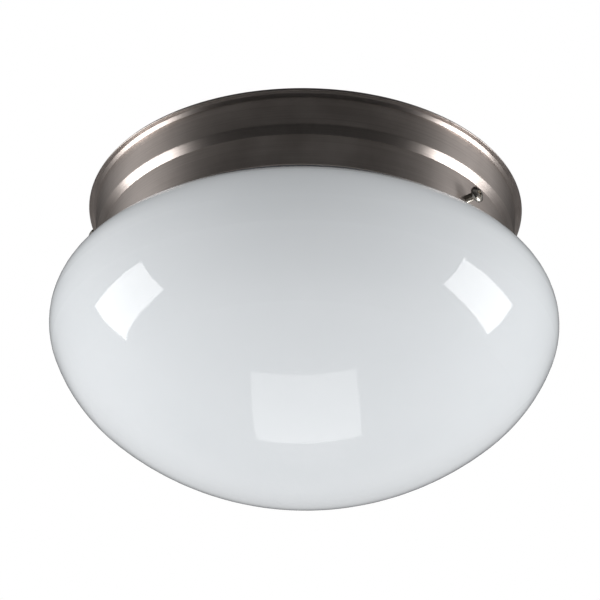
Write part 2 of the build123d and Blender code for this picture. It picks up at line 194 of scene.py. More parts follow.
@dataclass(frozen=True)
class SpunNickel(Finish):
    """Nickel plate on stamped steel, brushed while it turned, under a thin satin lacquer.

    The fine ring scratches draw each highlight out across the rings, so a lamp shows as a soft
    upright streak, and the plate's warm grey keeps the dark parts brownish.
    """

    colour: str = "#D4CAC4"
    worn: str = "#BBB1AB"
    roughness: float = 0.338
    smoother: float = 0.05      # how far clouds and scratches take the roughness down and up
    rougher: float = 0.06
    stretch: float = 0.75
    across: float = 0.25        # a quarter turn from the tangent: streaks lie across the rings
    scratch: float = 0.55       # the real ones are about 0.05 mm wide and would not show
    scratch_run: float = 70.0   # how long one is, at the ring's radius
    ring_r: float = 112.0
    scratch_depth: float = 0.003
    scratch_share: float = 0.6  # of the scratches in the tone, beside the clouds
    cloud: float = 26.0

    def sockets(self, tree: bpy.types.NodeTree, place: bpy.types.NodeSocket) -> Inputs:
        """Lay ring scratches by the distance to the axis and the height, over a cloudy polish.

        Args:
            tree: the material's node tree.
            place: the point on the piece, in metres from the origin.

        Returns:
            Values and sockets by the name of the shader's input.
        """
        split = add_node(tree, "SeparateXYZ", links={0: place})
        flat = add_node(tree, "CombineXYZ", links={0: split.outputs[0], 1: split.outputs[1]})
        away = add_node(tree, "VectorMath", {"operation": "LENGTH"}, {0: flat.outputs[0]})
        out = add_node(tree, "VectorMath", {"operation": "NORMALIZE"}, {0: flat.outputs[0]})
        turn = add_node(
            tree, "VectorMath", {"operation": "SCALE"},
            {0: out.outputs[0], "Scale": self.ring_r / self.scratch_run},
        )
        course = add_node(tree, "SeparateXYZ", links={0: turn.outputs[0]})
        ring = add_node(
            tree, "Math", {"operation": "MULTIPLY"},
            {0: away.outputs["Value"], 1: per(self.scratch)},
        )
        level = add_node(
            tree, "Math", {"operation": "MULTIPLY"}, {0: split.outputs[2], 1: per(self.scratch)}
        )
        spot = add_node(
            tree, "CombineXYZ",
            links={0: course.outputs[0], 1: course.outputs[1], 2: ring.outputs[0]},
        )
        lines = add_node(
            tree, "TexNoise", {"noise_dimensions": "4D"},
            {"Vector": spot.outputs[0], "W": level.outputs[0], "Scale": 1.0, "Detail": 3.0,
             "Roughness": 0.6},
        )
        clouds = add_node(
            tree, "TexNoise", links={"Vector": place, "Scale": per(self.cloud), "Detail": 4.0}
        )
        mixed = add_node(
            tree, "Math", {"operation": "MULTIPLY_ADD"},
            {0: lines.outputs[0], 1: self.scratch_share, 2: clouds.outputs[0]},
        )
        streak = add_node(tree, "MapRange", None, {0: mixed.outputs[0], 1: 0.6, 2: 1.0})
        tone = add_node(
            tree, "Mix", {"data_type": "RGBA"},
            {0: streak.outputs[0], 6: linear(self.colour), 7: linear(self.worn)},
        )
        rough = add_node(
            tree, "MapRange", None,
            {0: mixed.outputs[0], 1: 0.3, 2: 1.2, 3: self.roughness - self.smoother,
             4: self.roughness + self.rougher},
        )
        bump = add_node(
            tree, "Bump", None,
            {"Strength": 0.5, "Distance": self.scratch_depth * MM, "Height": lines.outputs[0]},
        )
        tangent = add_node(tree, "Tangent", {"direction_type": "RADIAL", "axis": "Z"})
        return {
            "Base Color": tone.outputs[2], "Metallic": 1.0, "Roughness": rough.outputs[0],
            "Anisotropic": self.stretch, "Anisotropic Rotation": self.across,
            "Normal": bump.outputs[0], "Tangent": tangent.outputs[0],
        }


@dataclass(frozen=True)
class BlownOpalGlass(Finish):
    """Opal glass blown in a mould and left fire polished.

    It is milky right through, so it reads as a cool white under a mirror-like skin, and the blown
    skin has long shallow waves that bend what it mirrors a little.
    """

    colour: str = "#E8EBEE"
    thick: str = "#E3E7EA"
    wall: float = 44.0          # width of a place where the wall is thicker
    wave: float = 55.0
    wave_depth: float = 0.05
    roughness: float = 0.045
    ior: float = 1.51
    mirror: float = 0.36        # a skin that mirrors a little less than clear glass does
    milk: float = 0.25          # how much light goes in and comes out again
    milk_reach: float = 3.0     # and how far off it does, which softens the shading

    def sockets(self, tree: bpy.types.NodeTree, place: bpy.types.NodeSocket) -> Inputs:
        """Change the colour slowly with the wall's thickness, and give the skin its waves.

        Args:
            tree: the material's node tree.
            place: the point on the piece, in metres from the origin.

        Returns:
            Values and sockets by the name of the shader's input.
        """
        walls = add_node(
            tree, "TexNoise", links={"Vector": place, "Scale": per(self.wall), "Detail": 3.0}
        )
        tone = add_node(
            tree, "Mix", {"data_type": "RGBA"},
            {0: walls.outputs[0], 6: linear(self.colour), 7: linear(self.thick)},
        )
        waves = add_node(
            tree, "TexNoise", links={"Vector": place, "Scale": per(self.wave), "Detail": 1.0}
        )
        bump = add_node(
            tree, "Bump", None,
            {"Strength": 0.6, "Distance": self.wave_depth * MM, "Height": waves.outputs[0]},
        )
        return {
            "Base Color": tone.outputs[2], "Roughness": self.roughness, "IOR": self.ior,
            "Normal": bump.outputs[0], "Subsurface Weight": self.milk,
            "Subsurface Scale": self.milk_reach * MM, "Subsurface Radius": (1, 1, 1),
            "Specular IOR Level": self.mirror,
        }


class Grain(Enum):
    """How the small relief of a surface lies."""

    EVEN = (1.0, 1.0, 1.0)
    ALONG_X = (0.08, 1.0, 1.0)


@dataclass(frozen=True)
class PlainFinish(Finish):
    """A surface with one colour, a second tone in clouds, and a fine relief.

    The finishes below differ from each other only in these values, so they share this class.
    """

    colour: str = "#FFFFFF"
    second: str = "#FFFFFF"
    cloud: float = 10.0
    metallic: float = 0.0
    roughness: float = 0.4
    roughness_spread: float = 0.05
    relief: float = 0.5
    relief_depth: float = 0.01
    grain: Grain = Grain.EVEN
    coat: float = 0.0
    sheen: float = 0.0

    def sockets(self, tree: bpy.types.NodeTree, place: bpy.types.NodeSocket) -> Inputs:
        """Cloud the colour and the polish, over a fine relief.

        Args:
            tree: the material's node tree.
            place: the point on the piece, in metres from the origin.

        Returns:
            Values and sockets by the name of the shader's input.
        """
        clouds = add_node(
            tree, "TexNoise", links={"Vector": place, "Scale": per(self.cloud), "Detail": 5.0}
        )
        tone = add_node(
            tree, "Mix", {"data_type": "RGBA"},
            {0: clouds.outputs[0], 6: linear(self.colour), 7: linear(self.second)},
        )
        rough = add_node(
            tree, "MapRange", None,
            {0: clouds.outputs[0], 1: 0.3, 2: 0.7, 3: self.roughness - self.roughness_spread,
             4: self.roughness + self.roughness_spread},
        )
        laid = add_node(
            tree, "VectorMath", {"operation": "MULTIPLY"}, {0: place, 1: self.grain.value}
        )
        fine = add_node(
            tree, "TexNoise", None,
            {"Vector": laid.outputs[0], "Scale": per(self.relief), "Detail": 3.0},
        )
        bump = add_node(
            tree, "Bump", None,
            {"Strength": 0.6, "Distance": self.relief_depth * MM, "Height": fine.outputs[0]},
        )
        return {
            "Base Color": tone.outputs[2], "Roughness": rough.outputs[0], "Normal": bump.outputs[0],
            "Metallic": self.metallic, "Coat Weight": self.coat, "Sheen Weight": self.sheen,
        }


BRUSHED_NICKEL = SpunNickel("Nickel plate brushed in rings", "brushed_nickel")
OPAL_GLASS = BlownOpalGlass("Opal glass blown and fire polished", "opal_glass")

# Barrel plated in bulk: bright, with the tiny knocks that the barrel leaves.
NICKEL_SCREW = PlainFinish(
    "Nickel plate on a turned screw", "nickel_screw", "#D6D1C9", "#BFB8AE", 2.5, 1.0, 0.24, 0.05,
    relief=0.4, relief_depth=0.004,
)
# Electroplated zinc, passivated: a bluish grey with faint yellow clouds.
ZINC_PLATE = PlainFinish(
    "Zinc plate on pressed steel", "zinc_steel", "#B9BEC3", "#BDB9A8", 6.0, 1.0, 0.38, 0.08,
    relief=0.8, relief_depth=0.006,
)
# Sprayed and baked enamel: white and glossy, with the slight orange peel of sprayed paint.
WHITE_ENAMEL = PlainFinish(
    "White baked enamel on steel", "white_enamel", "#EDEDE8", "#E4E3DC", 30.0, 0.0, 0.25, 0.04,
    relief=1.8, relief_depth=0.02, coat=0.3,
)
# Brushed-on marking paint over a screw: it pools unevenly, so its gloss changes over a millimetre.
GREEN_PAINT = PlainFinish(
    "Green marking paint on a screw", "green_paint", "#1E7A45", "#17653A", 1.6, 0.0, 0.35, 0.12,
    relief=0.6, relief_depth=0.02,
)
# Sand blasted inside, so the glass looks white and soft while the outside keeps a low sheen.
FROSTED_GLASS = PlainFinish(
    "Blown bulb glass, frosted inside", "frosted_glass", "#F3F2EE", "#E9E8E2", 12.0, 0.0, 0.3, 0.05,
    relief=0.9, relief_depth=0.004, coat=0.4,
)
# Fused vitreous insulator: near black and glassy with small ripples from the melt.
BLACK_GLASS = PlainFinish(
    "Fused black glass insulator", "black_glass", "#141516", "#20201F", 3.0, 0.0, 0.12, 0.05,
    relief=1.4, relief_depth=0.03,
)
# Rolled from bright sheet: satin aluminium with the rolling lines running round the cap.
CAP_ALUMINIUM = PlainFinish(
    "Rolled aluminium lamp cap", "cap_aluminium", "#C9CBCC", "#B9BBBD", 4.0, 1.0, 0.33, 0.07,
    relief=0.35, relief_depth=0.006,
)
# Drawn brass, slightly tarnished where air reaches it.
DRAWN_BRASS = PlainFinish(
    "Drawn brass sheet", "brass", "#C9A65A", "#A98645", 4.0, 1.0, 0.3, 0.09,
    relief=0.6, relief_depth=0.006, grain=Grain.ALONG_X,
)
# Slip-cast and glazed: a warm white body under a thick gloss that pools in soft waves.
GLAZED_PORCELAIN = PlainFinish(
    "Glazed porcelain", "porcelain", "#F0EDE4", "#E6E1D5", 9.0, 0.0, 0.14, 0.05,
    relief=3.5, relief_depth=0.05, coat=0.6,
)
# Spun glass fibre with binder: pale yellow, matt, with the fibres as a soft nap.
GLASS_WOOL = PlainFinish(
    "Spun glass wool with binder", "glass_wool", "#E9D98F", "#D2BC67", 5.0, 0.0, 0.9, 0.05,
    relief=0.45, relief_depth=0.35, sheen=0.35,
)
# Moulded nylon: milky white with the mould's fine spark-eroded texture.
MOULDED_NYLON = PlainFinish(
    "Moulded natural nylon", "white_nylon", "#E6E4DA", "#DEDBCE", 8.0, 0.0, 0.45, 0.06,
    relief=0.35, relief_depth=0.012,
)


# ------------------------------------------------------------------ making pieces

def show(
    name: str, mesh: bpy.types.Mesh, finish: Finish, nodes: Sequence[str], crease: float = 32.0
) -> bpy.types.Object:
    """Put a mesh in the scene in place of CAD nodes.

    Args:
        name: name of the piece.
        mesh: its mesh, in metres from the light's origin.
        finish: its finish.
        nodes: CAD nodes of one body that it stands for.
        crease: angle in degrees from which an edge is sharp.

    Returns:
        The piece, riding on the nodes' body.
    """
    mesh.shade_smooth()
    mesh.set_sharp_from_angle(angle=radians(crease))
    mesh.materials.clear()
    mesh.materials.append(finish.material())
    piece = put_in_scene(name, mesh)
    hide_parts(*nodes)
    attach(piece, frame["nodes"][nodes[0]]["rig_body"])
    log.info("%s: %d faces, %s", name, len(mesh.polygons), finish.name)
    return piece


def dress(node: str, finish: Finish) -> None:
    """Give a CAD node that stays in view its finish.

    Args:
        node: name of the node.
        finish: its finish.
    """
    piece = frame["nodes"][node]
    for slot in piece.material_slots:
        slot.material = finish.material()
    log.info("%s: CAD mesh, %s", node, finish.name)


def wrap(rows: np.ndarray, start_cap: bool = False, end_cap: bool = False) -> bpy.types.Mesh:
    """Join rows of points that each go once round into a mesh.

    Args:
        rows: points in metres, as row, step round, and x y z.
        start_cap: close the first row with a face.
        end_cap: close the last row with a face.

    Returns:
        The mesh.
    """
    count, steps = rows.shape[:2]
    here = np.arange(count - 1)[:, None] * steps + np.arange(steps)[None, :]
    beside = np.arange(count - 1)[:, None] * steps + (np.arange(steps)[None, :] + 1) % steps
    faces = np.stack([here, beside, beside + steps, here + steps], -1).reshape(-1, 4).tolist()
    if start_cap:
        faces.append(list(range(steps))[::-1])
    if end_cap:
        faces.append(list(range((count - 1) * steps, count * steps)))
    mesh = bpy.data.meshes.new("wrapped")
    mesh.from_pydata(rows.reshape(-1, 3).tolist(), [], faces)
    mesh.update()
    return mesh


@dataclass(frozen=True)
class Spindle:
    """An axis that round pieces are turned about."""

    start: Vector = Vector((0, 0, 0)).freeze()
    along: Vector = Vector((0, 0, 1)).freeze()
    up: Vector = Vector((1, 0, 0)).freeze()     # the side that a turn starts from

    def turned(self, profile: Sequence[Point], steps: int, lift: Lift | None = None) -> np.ndarray:
        """Turn a profile into rows of points.

        Args:
            profile: distances along the axis and radii, in millimetres.
            steps: points in one turn.
            lift: gives what to add to the radius at each point.

        Returns:
            Points in metres for wrap().
        """
        line = np.array(profile, float)
        turn = np.linspace(0, 2 * pi, steps, endpoint=False)
        spots = np.empty((len(line), steps, 3))
        spots[..., 0] = line[:, None, 0]
        spots[..., 1] = line[:, None, 1]
        spots[..., 2] = turn[None, :]
        radius = spots[..., 1] + (lift(spots) if lift else 0)
        side = self.along.cross(self.up)
        across = np.cos(turn)[:, None] * np.array(self.up) + np.sin(turn)[:, None] * np.array(side)
        made = (
            np.array(self.start) + spots[..., :1] * np.array(self.along)
            + radius[..., None] * across[None, :, :]
        )
        return made * MM


def cut_from(mesh: bpy.types.Mesh, cutters: Sequence[bpy.types.Mesh]) -> bpy.types.Mesh:
    """Cut closed meshes out of another closed mesh.

    Args:
        mesh: what is cut.
        cutters: what is taken away.

    Returns:
        The mesh that is left.
    """
    body = put_in_scene("uncut", mesh)
    tools = [put_in_scene("cutter", cutter) for cutter in cutters]
    for tool in tools:
        taken = body.modifiers.new("cut", "BOOLEAN")
        taken.operation, taken.solver, taken.object = "DIFFERENCE", "EXACT", tool
    now = bpy.context.evaluated_depsgraph_get()
    left = bpy.data.meshes.new_from_object(body.evaluated_get(now))
    for one in (body, *tools):
        bpy.data.objects.remove(one)
    return left


def closed_outwards(mesh: bpy.types.Mesh) -> bpy.types.Mesh:
    """Weld a closed mesh's seams and turn its faces outwards.

    Args:
        mesh: the mesh, which is changed.

    Returns:
        The same mesh.
    """
    turned = bmesh.new()
    turned.from_mesh(mesh)
    bmesh.ops.remove_doubles(turned, verts=turned.verts, dist=1e-7)
    bmesh.ops.recalc_face_normals(turned, faces=turned.faces)
    turned.to_mesh(mesh)
    turned.free()
    return mesh


def together(meshes: Sequence[bpy.types.Mesh]) -> bpy.types.Mesh:
    """Join meshes into one.

    Args:
        meshes: the meshes, which stay as they are.

    Returns:
        A new mesh with all their faces.
    """
    joined = bmesh.new()
    for mesh in meshes:
        joined.from_mesh(mesh)
    whole = bpy.data.meshes.new("joined")
    joined.to_mesh(whole)
    joined.free()
    return whole


def bow(center: Point, radius: float, start: float, end: float, pieces: int) -> list[Point]:
    """Give the points of an arc between two angles in degrees, ends included."""
    turns = [radians(start + (end - start) * n / pieces) for n in range(pieces + 1)]
    return [(center[0] + radius * cos(t), center[1] + radius * sin(t)) for t in turns]


def bent(corners: Sequence[Triple], inset: float, chords: int) -> list[Point]:
    """Follow one face of a bent sheet.

    Args:
        corners: radius, height and bend radius of each corner of the sheet's right-hand face.
        inset: distance of the followed face from that one, to its left.
        chords: how many chords each bend gets.

    Returns:
        The points from the first corner to the last.
    """
    def beside(spot: Sequence[float], way: float, away: float) -> Point:
        """Give the point this far to the left of a spot, seen along a way in radians."""
        return (spot[0] - sin(way) * away, spot[1] + cos(way) * away)

    ways = [atan2(b[1] - a[1], b[0] - a[0]) for a, b in zip(corners, corners[1:])]
    line = [beside(corners[0], ways[0], inset)]
    for corner, way, next_way in zip(corners[1:], ways, ways[1:]):
        turn = next_way - way
        left = 1 if turn > 0 else -1
        reach = corner[2] * tan(abs(turn) / 2)
        start = (corner[0] - reach * cos(way), corner[1] - reach * sin(way))
        center = beside(start, way, left * corner[2])
        first = degrees(way) - 90 * left
        line += bow(center, corner[2] - left * inset, first, first + degrees(turn), chords)
    line.append(beside(corners[-1], ways[-1], inset))
    return line


def radial(angle: float) -> Vector:
    """Give the direction out from the light's axis, turned from -Y towards +X by degrees."""
    return Vector((sin(radians(angle)), -cos(radians(angle)), 0))


def lamp_spindle(side: int) -> Spindle:
    """Give a lamp's axis from its lampholder's back: side 1 points to +X, and -1 to -X."""
    start = Vector((-side * LAMPHOLDER_BACK, side * LAMP_ASIDE, LAMP_Z))
    return Spindle(start, Vector((side, 0, 0)), Vector((0, 0, 1)))


def thread_phase(spots: np.ndarray, pitch: float) -> np.ndarray:
    """Give where each (along, radius, turn) point lies in a thread's pitch, from 0 to 1."""
    return (spots[..., 0] / pitch - spots[..., 2] / (2 * pi)) % 1


def rolled_wave(spots: np.ndarray, start: float, end: float) -> np.ndarray:
    """Give the round wave of a thread rolled in sheet.

    Args:
        spots: (along, radius, turn) points.
        start: where the wave begins to rise.
        end: where it has died away.

    Returns:
        Its height at each point, from 0 in the valleys to 1.
    """
    run = spots[..., 0]
    wave = 0.5 - 0.5 * np.cos(2 * pi * thread_phase(spots, CAP_PITCH))
    return wave * np.clip((run - start) / CAP_FADE, 0, 1) * np.clip((end - run) / CAP_FADE, 0, 1)


# ------------------------------------------------------------------ the light's sub-assemblies

@dataclass(frozen=True)
class CrossScrew:
    """A pan head screw with a rolled thread and a cross recess."""

    head_r: float
    head_h: float
    head_side: float
    shank_r: float
    length: float
    pitch: float
    thread_depth: float
    recess_span: float
    recess_w: float
    recess_depth: float
    point: float = 0.5          # of the shank, where it narrows
    edge: float = 0.18          # the head's rounded edges
    bare: float = 1.5           # turns without thread under the head
    turn_rows: int = 10         # rows of points to each turn of the thread
    shank_steps: int = 40
    head_steps: int = 64

    def thread(self, spots: np.ndarray) -> np.ndarray:
        """Give the thread's depth, with flat crests and valleys.

        Args:
            spots: (along, radius, turn) points of the shank.

        Returns:
            What to add to the radius at each of them.
        """
        ridge = np.clip(1.6 * np.abs(2 * thread_phase(spots, self.pitch) - 1) - 0.3, 0, 1)
        full = spots[..., 1] >= self.shank_r - 0.001
        shown = full & (spots[..., 0] < self.length - self.bare * self.pitch)
        return np.where(shown, -self.thread_depth * (1 - ridge), 0)

    def mesh(self, spindle: Spindle) -> bpy.types.Mesh:
        """Build the screw.

        Args:
            spindle: its axis, from the tip to the head.

        Returns:
            The mesh of shank and head.
        """
        start, point, edge = self.length, self.point, self.edge
        rows = int(start / self.pitch * self.turn_rows)
        shank = [(0.0, 0.05), (0.0, self.shank_r - point), (point, self.shank_r)]
        shank += [(point + (start - point) * n / rows, self.shank_r) for n in range(1, rows + 1)]
        body = wrap(spindle.turned(shank, self.shank_steps, self.thread), True, True)

        crown_h = self.head_h - self.head_side
        ball = (self.head_r ** 2 + crown_h ** 2) / (2 * crown_h)
        half = degrees(asin(self.head_r / ball))
        side, rim = start + self.head_side, self.head_r
        head = [(start, 0.05), (start, rim - edge), (start + edge * 0.3, rim - edge * 0.3),
                (start + edge, rim), (side - edge, rim), (side, rim - edge * 0.25)]
        head += bow((start + self.head_h - ball, 0), ball, half * 0.94, 0.6, 14)
        cap = wrap(spindle.turned(head, self.head_steps), True, True)
        cap = cut_from(cap, [self.wing(spindle, turn) for turn in (0.0, pi / 2)])
        return together([body, cap])

    def wing(self, spindle: Spindle, turn: float) -> bpy.types.Mesh:
        """Build one bar of the driver's cross.

        Args:
            spindle: the screw's axis.
            turn: how far the bar is turned about it, in radians.

        Returns:
            A closed bar that narrows towards the bottom of the recess.
        """
        top = self.length + self.head_h
        levels = (          # depth under the crown, length and width
            (-0.3, self.recess_span * 1.04, self.recess_w * 1.08),
            (self.recess_depth * 0.8, self.recess_span * 0.62, self.recess_w * 0.8),
            (self.recess_depth, self.recess_span * 0.2, self.recess_w * 0.3),
        )
        spots = np.array([[(top - depth, u * span / 2, v * width / 2) for u, v in SQUARE]
                          for depth, span, width in levels])
        side = np.array(spindle.along.cross(spindle.up))
        up = np.array(spindle.up)
        long, wide = cos(turn) * up + sin(turn) * side, -sin(turn) * up + cos(turn) * side
        made = (np.array(spindle.start) + spots[..., :1] * np.array(spindle.along)
                + spots[..., 1:2] * long + spots[..., 2:] * wide)
        return closed_outwards(wrap(made * MM, True, True))


@dataclass(frozen=True)
class Canopy:
    """The stamped canopy: one sheet from the collar's lower edge to the ceiling."""

    sheet: float = 0.8
    edge_r: float = 0.3
    # radius, height and bend of the outside's corners, from the collar up
    corners: tuple[Triple, ...] = (
        (104.7, -38.1, 0.0),
        (104.7, -22.5, 2.0),
        (104.6, -21.3, 0.35),
        (107.45, -17.6, 1.6),
        (108.95, -4.2, 2.0),
        (108.95, -3.1, 0.35),
        (110.3, -1.5, 0.35),
        (112.35, -1.5, 0.35),
        (112.35, -0.95, 0.5),
        (111.7, 0.0, 0.0),
    )
    lip: int = -3               # the corner where the inside turns straight up
    lip_bend: float = 1.28
    hole_r: float = 2.2
    drill_len: float = 6.0
    drill_steps: int = 48
    steps: int = 480
    chords: int = 5             # of each bend
    edge_chords: int = 4

    def section(self) -> list[Point]:
        """Follow the sheet's section once round.

        Returns:
            Heights and radii, from the collar's lower edge up the outside and down the inside.
        """
        lip_r, lip_z, _ = self.corners[self.lip]
        rising = (*self.corners[:self.lip], (lip_r, lip_z, self.lip_bend), (lip_r, 0.0, 0.0))
        outside = bent(self.corners, 0.0, self.chords)
        inside = bent(rising, self.sheet, self.chords)
        (collar_r, low, _), edge = self.corners[0], self.edge_r
        line = bow((collar_r - edge, low), edge, -90, 0, self.edge_chords)
        line += outside[1:] + inside[:0:-1]
        line += bow((collar_r - self.sheet + edge, low), edge, 180, 270, self.edge_chords)
        return [(z, r) for r, z in line + line[:1]]

    def mesh(self) -> bpy.types.Mesh:
        """Turn the section about the light's axis, and drill it for the shade screws.

        Returns:
            The canopy's mesh.
        """
        sheet = closed_outwards(wrap(Spindle().turned(self.section(), self.steps)))
        bar = [(0.0, self.hole_r), (self.drill_len, self.hole_r)]
        drills = []
        for angle in SCREW_ANGLES:
            start = radial(angle) * (self.corners[0][0] - self.drill_len / 2)
            drill = Spindle(start + Vector((0, 0, SCREW_Z)), radial(angle), Vector((0, 0, 1)))
            drills.append(closed_outwards(wrap(drill.turned(bar, self.drill_steps), True, True)))
        return cut_from(sheet, drills)

    def build(self) -> None:
        """Build and dress the canopy."""
        show("stamped_canopy", self.mesh(), BRUSHED_NICKEL, ["canopy"], 30)


@dataclass(frozen=True)
class ClampedShade:
    """The shade, the three screws that clamp it, and the nuts that the screws turn in."""

    screw: CrossScrew = CrossScrew(4.0, 2.6, 1.2, 2.0, 12.0, 0.7, 0.38, 4.6, 1.0, 1.5)
    screw_tip_r: float = 98.0

    def build(self) -> None:
        """Build and dress the shade, the nuts and the screws."""
        dress("weld_nuts", ZINC_PLATE)
        dress("opal_shade", OPAL_GLASS)
        for number, angle in enumerate(SCREW_ANGLES, 1):
            tip = radial(angle) * self.screw_tip_r + Vector((0, 0, SCREW_Z))
            mesh = self.screw.mesh(Spindle(tip, radial(angle), Vector((0, 0, 1))))
            show(f"cross_screw_{number}", mesh, NICKEL_SCREW, [f"thumb_screw_{number}"])


@dataclass(frozen=True)
class BackPlate:
    """The enamelled dish with its bushing, earthing screw and glass wool ring."""

    top_z: float = -19.1
    wool_in: float = 66.1
    wool_out: float = 101.8
    wool_top_z: float = -2.0
    wool_round: float = 5.0         # at the top edges
    wool_edge: float = 1.2          # at the bottom edges
    wool_steps: int = 420
    wool_lumps: float = 0.11        # noise scale of the lumps, about 9 mm across
    wool_nap: Triple = (0.9, 0.9, 2.4)              # and of the tufts
    earth_y: float = 26.0
    earth_flats: float = 7.0
    earth_head_h: float = 2.4
    earth_r: float = 2.0
    earth_len: float = 6.0
    earth_pitch: float = 0.8
    earth_thread: float = 0.4       # the thread's depth
    earth_slot: Triple = (10.0, 1.2, 1.1)           # length, width and depth

    def build(self) -> None:
        """Build and dress the plate and what it carries."""
        dress("back_plate", WHITE_ENAMEL)
        dress("wire_bushing", MOULDED_NYLON)
        show("earthing_screw", self.earthing_screw(), GREEN_PAINT, ["ground_screw"])
        wool = show("glass_wool_ring", self.wool(), GLASS_WOOL, ["insulation_ring"], 180)

    def earth_ridge(self, spots: np.ndarray) -> np.ndarray:
        """Give the earthing screw's sharp thread.

        Args:
            spots: (along, radius, turn) points of the shank.

        Returns:
            What to add to the radius at each of them.
        """
        ridge = np.abs(2 * thread_phase(spots, self.earth_pitch) - 1)
        shown = (spots[..., 1] > self.earth_r - 0.01) & (spots[..., 0] < self.earth_len)
        return np.where(shown, -self.earth_thread * (1 - ridge), 0)

    def hexagon(self, spots: np.ndarray) -> np.ndarray:
        """Give the six flats of the earthing screw's head.

        Args:
            spots: (along, radius, turn) points of the head.

        Returns:
            What to add to the radius at each of them.
        """
        off = (spots[..., 2] + pi / 6) % (pi / 3) - pi / 6
        flat = self.earth_flats / 2 / np.cos(off)
        return np.minimum(flat, spots[..., 1]) - spots[..., 1]

    def earthing_screw(self) -> bpy.types.Mesh:
        """Build the hexagon head screw with its chamfer, driver slot and threads.

        Returns:
            The screw's mesh.
        """
        spindle = Spindle(Vector((0, self.earth_y, self.top_z - self.earth_len)))
        base, top = self.earth_len, self.earth_len + self.earth_head_h
        shank = [(0, 0.05), (0, 1.5), (0.5, self.earth_r)]
        shank += [(0.5 + (base - 0.5) * n / 60, self.earth_r) for n in range(1, 61)]
        stem = wrap(spindle.turned(shank, 32, self.earth_ridge), True, True)

        corner = self.earth_flats / sqrt(3)
        head = [(base, 0.05), (base, corner - 0.3), (base + 0.3, corner), (top - 0.9, corner),
                (top - 0.6, corner - 0.28), (top - 0.3, corner - 0.75), (top, corner - 1.4),
                (top, 0.05)]
        block = wrap(spindle.turned(head, 96, self.hexagon), True, True)
        length, width, depth = self.earth_slot
        floor = self.top_z + self.earth_head_h - depth
        slot = np.array([[(u * length / 2, self.earth_y + v * width / 2, z) for u, v in SQUARE]
                         for z in (floor, self.top_z + 5)])
        return together([stem, cut_from(block, [closed_outwards(wrap(slot * MM, True, True))])])

    def wool_section(self) -> list[Point]:
        """Follow the batt's section once round, from the inner bottom edge outwards.

        Returns:
            Heights and radii.
        """
        low, high, soft, edge = self.top_z, self.wool_top_z, self.wool_round, self.wool_edge
        inner, outer = self.wool_in, self.wool_out
        side = high - soft - low - edge
        line = [(inner + 1.0 + (outer - inner - 2.0) * n / 24, low) for n in range(25)]
        line += bow((outer - edge, low + edge), edge, -80, 0, 4)
        line += [(outer, low + edge + side * n / 8) for n in range(1, 8)]
        line += bow((outer - soft, high - soft), soft, 0, 90, 10)
        line += [(outer - soft - (outer - inner - 2 * soft) * n / 22, high) for n in range(1, 22)]
        line += bow((inner + soft, high - soft), soft, 90, 180, 10)
        line += [(inner, high - soft - side * n / 8) for n in range(1, 8)]
        line += bow((inner + edge, low + edge), edge, 180, 260, 4)
        return [(z, r) for r, z in line + line[:1]]

    def pulled(self, spot: Vector) -> Vector:
        """Sink a point of the batt by its lumps and tufts. Its bottom stays flat on the plate.

        Args:
            spot: the point, in millimetres.

        Returns:
            The same point, moved towards the middle of the section.
        """
        if spot.z < self.top_z + 0.3:
            return spot
        lump = 0.5 + 0.5 * noise.fractal(spot * self.wool_lumps, 0.9, 2.1, 3)
        nap = 0.5 + 0.5 * noise.noise(spot * Vector(self.wool_nap))
        sink = min(max(0.9 * lump + 0.5 * nap, 0.0), 1.6)
        reach = sqrt(spot.x ** 2 + spot.y ** 2)
        middle = (self.wool_in + self.wool_out) / 2, (self.top_z + self.wool_top_z) / 2
        inward = Vector((middle[0] - reach, middle[1] - spot.z)).normalized() * sink
        spot.x += spot.x / reach * inward[0]
        spot.y += spot.y / reach * inward[0]
        spot.z += inward[1] * 0.8
        return spot

    def wool(self) -> bpy.types.Mesh:
        """Build the batt as a ring with soft edges, lumps and pulled tufts.

        Returns:
            The batt's mesh.
        """
        rows = Spindle().turned(self.wool_section(), self.wool_steps) / MM
        for row in rows[:-1]:
            for spot in row:
                spot[:] = self.pulled(Vector(spot))
        rows[-1] = rows[0]
        return closed_outwards(wrap(rows * MM))


